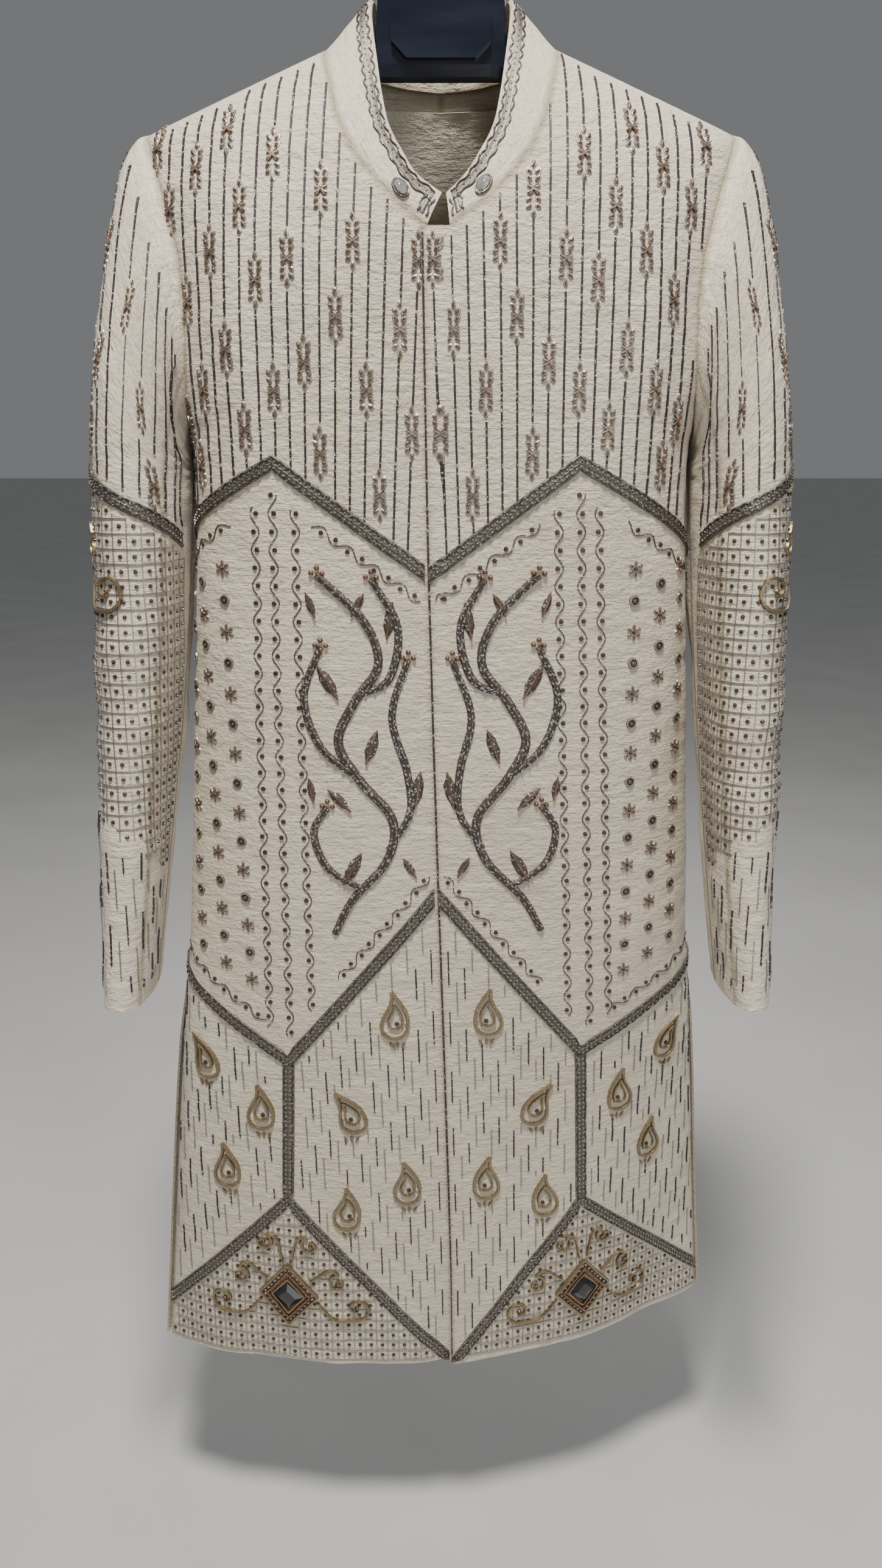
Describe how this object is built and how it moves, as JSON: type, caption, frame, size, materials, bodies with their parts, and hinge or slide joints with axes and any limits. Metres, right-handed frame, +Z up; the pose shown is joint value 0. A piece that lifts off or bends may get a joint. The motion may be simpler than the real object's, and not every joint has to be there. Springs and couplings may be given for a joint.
{
  "type": "sherwani coat on a hanger",
  "caption": "Knee-length South Asian coat with band collar, lapped front, raised zigzag bands and side vents, on a broad hanger.",
  "frame": {"origin": "top of the hook's inner bend, where the hanger hangs on a rail", "axes": "+Z up, the coat's front faces -Y, the wearer's left side is +X"},
  "size_m": [0.5601, 0.2143, 1.2417],
  "materials": {
    "ivory_silk": "slubbed raw silk, ivory",
    "beige_lining": "plain lining, beige",
    "dull_zari": "dull metal-thread band",
    "taupe_cord": "dark raised cord",
    "copper_frame": "aged copper",
    "black_stone": "black faceted stone",
    "clear_stone": "clear round stone",
    "navy_plastic": "near-black navy gloss",
    "hook_steel": "bright metal hook"
  },
  "bodies": {
    "root": {"back_left": "ivory_silk", "back_lining": "beige_lining", "back_right": "ivory_silk", "collar": "ivory_silk", "collar_stud_left": "clear_stone", "collar_stud_right": "clear_stone", "drop_band_left": "dull_zari", "drop_band_right": "dull_zari", "front_left": "ivory_silk", "front_right": "ivory_silk", "hanger_body": "navy_plastic", "hanger_hook": "hook_steel", "hanger_plate": "navy_plastic", "hem_band_left": "dull_zari", "hem_band_right": "dull_zari", "hem_frame_left": "copper_frame", "hem_frame_right": "copper_frame", "hem_stone_left": "black_stone", "hem_stone_right": "black_stone", "hip_band_left": "dull_zari", "hip_band_right": "dull_zari", "sleeve_band_left": "dull_zari", "sleeve_band_right": "dull_zari", "sleeve_frame_left": "copper_frame", "sleeve_frame_right": "copper_frame", "sleeve_stone_left": "black_stone", "sleeve_stone_right": "black_stone", "sleeve_top_left": "ivory_silk", "sleeve_top_right": "ivory_silk", "sleeve_under_left": "ivory_silk", "sleeve_under_right": "ivory_silk", "vine_leaf_left_1": "taupe_cord", "vine_leaf_left_2": "taupe_cord", "vine_leaf_left_3": "taupe_cord", "vine_leaf_left_4": "taupe_cord", "vine_leaf_left_5": "taupe_cord", "vine_leaf_right_1": "taupe_cord", "vine_leaf_right_2": "taupe_cord", "vine_leaf_right_3": "taupe_cord", "vine_leaf_right_4": "taupe_cord", "vine_leaf_right_5": "taupe_cord", "vine_stem_left": "taupe_cord", "vine_stem_right": "taupe_cord", "yoke_band_left": "dull_zari", "yoke_band_right": "dull_zari"}
  },
  "joints": []
}
